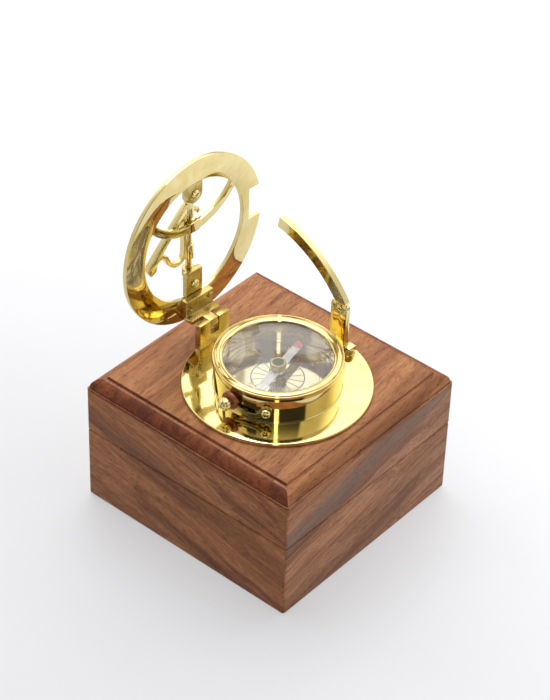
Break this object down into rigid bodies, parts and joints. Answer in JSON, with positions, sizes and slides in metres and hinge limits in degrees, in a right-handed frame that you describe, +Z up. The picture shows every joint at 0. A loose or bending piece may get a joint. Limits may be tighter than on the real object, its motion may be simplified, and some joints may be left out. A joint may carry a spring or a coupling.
{
  "type": "inclining pocket sundial",
  "caption": "Brass inclining pocket sundial with hinged hour ring, folding gnomon and latitude arc on a compass base, standing on its hinged wooden case.",
  "frame": {"origin": "centre of the case's underside", "axes": "+Z up, longest side; +Y to the back of the case, where its hinges are; +X to the right"},
  "size_m": [0.102, 0.1083, 0.1443],
  "materials": {
    "polished_brass": "mirror polished",
    "fine_brass": "polished, slightly warmer",
    "case_brass": "satin",
    "steel": "bright drawn wire",
    "dial_card": "polished, engraved and blackened",
    "glass": "clear polished",
    "needle_paint": "white paint with a red north end",
    "jewel": "polished dark green stone",
    "copper": "oxidised copper",
    "wood": "oiled sheesham, open grain",
    "lining": "short green flock"
  },
  "bodies": {
    "case_base": {"case_walls": "wood", "case_floor": "wood", "nest_tray": "lining", "case_hinge_1_base_leaf": "case_brass", "case_hinge_1_base_screw_1": "case_brass", "case_hinge_1_base_screw_2": "case_brass", "case_hinge_1_pin": "steel", "case_hinge_2_base_leaf": "case_brass", "case_hinge_2_base_screw_1": "case_brass", "case_hinge_2_base_screw_2": "case_brass", "case_hinge_2_pin": "steel"},
    "case_lid": {"lid_walls": "wood", "lid_top": "wood", "lid_lining": "lining", "case_hinge_1_lid_leaf": "case_brass", "case_hinge_1_lid_screw_1": "case_brass", "case_hinge_1_lid_screw_2": "case_brass", "case_hinge_2_lid_leaf": "case_brass", "case_hinge_2_lid_screw_1": "case_brass", "case_hinge_2_lid_screw_2": "case_brass"},
    "instrument": {"base_plate": "polished_brass", "compass_bowl": "polished_brass", "bezel": "polished_brass", "compass_glass": "glass", "compass_card": "dial_card", "pivot_pin": "steel", "bowl_screw_1": "fine_brass", "bowl_screw_2": "fine_brass", "bowl_screw_3": "fine_brass", "bracket_screw_1": "fine_brass", "bracket_screw_2": "fine_brass", "post_screw": "fine_brass", "hinge_bracket": "fine_brass", "dial_hinge_pin": "steel", "arc_post": "polished_brass", "arc_foot_screw": "fine_brass", "arc_hinge_pin": "steel", "lever_pivot_screw": "fine_brass"},
    "needle_lifter": {"needle_lifter": "fine_brass"},
    "needle": {"compass_needle": "needle_paint", "needle_cap": "fine_brass", "cap_jewel": "jewel"},
    "lock_lever": {"lock_lever": "fine_brass", "lock_washer": "copper", "lock_knob": "fine_brass"},
    "hour_dial": {"dial_ring": "polished_brass", "ring_leaf": "fine_brass", "leaf_screw_1": "fine_brass", "leaf_screw_2": "fine_brass", "upper_lug": "fine_brass", "lower_lug": "fine_brass", "upper_lug_screw": "fine_brass", "lower_lug_screw": "fine_brass", "lower_lug_nut": "fine_brass", "gnomon_axle": "fine_brass"},
    "gnomon": {"gnomon": "fine_brass"},
    "latitude_arc": {"latitude_arc": "polished_brass"}
  },
  "joints": [
    {"name": "lid_hinge", "type": "hinge", "parent": "case_base", "child": "case_lid", "pos_m": [0, 0.0542, 0.0344], "axis": [-1, 0, 0], "range_deg": [0, 95]},
    {"name": "instrument_lift", "type": "slide", "parent": "case_lid", "child": "instrument", "axis": [0, 0, 1], "range_m": [0, 0.05]},
    {"name": "dial_hinge", "type": "hinge", "parent": "instrument", "child": "hour_dial", "pos_m": [-0.00117, 0.03096, 0.0717], "axis": [0.9989, -0.0471, 0], "range_deg": [0, 90]},
    {"name": "gnomon_fold", "type": "hinge", "parent": "hour_dial", "child": "gnomon", "pos_m": [-0.00055, 0.04414, 0.107], "axis": [0, 0, -1], "range_deg": [0, 90]},
    {"name": "arc_fold", "type": "hinge", "parent": "instrument", "child": "latitude_arc", "pos_m": [0.02936, -0.00732, 0.0846], "axis": [-0.0471, -0.9989, 0], "range_deg": [0, 85]},
    {"name": "lock_lever_turn", "type": "hinge", "parent": "instrument", "child": "lock_lever", "pos_m": [-0.02523, -0.01911, 0.0681], "axis": [0.859, 0.512, 0], "range_deg": [0, 6]},
    {"name": "needle_lift", "type": "slide", "parent": "instrument", "child": "needle_lifter", "axis": [0, 0, 1], "range_m": [0, 0.00079]},
    {"name": "needle_turn", "type": "hinge", "parent": "needle_lifter", "child": "needle", "pos_m": [-0.0029, -0.0058, 0.069], "axis": [0, 0, 1], "continuous": true}
  ],
  "couplings": [
    {"joint": "lock_lever_turn", "follows": "needle_lift", "rad_per_m": 131.58}
  ]
}
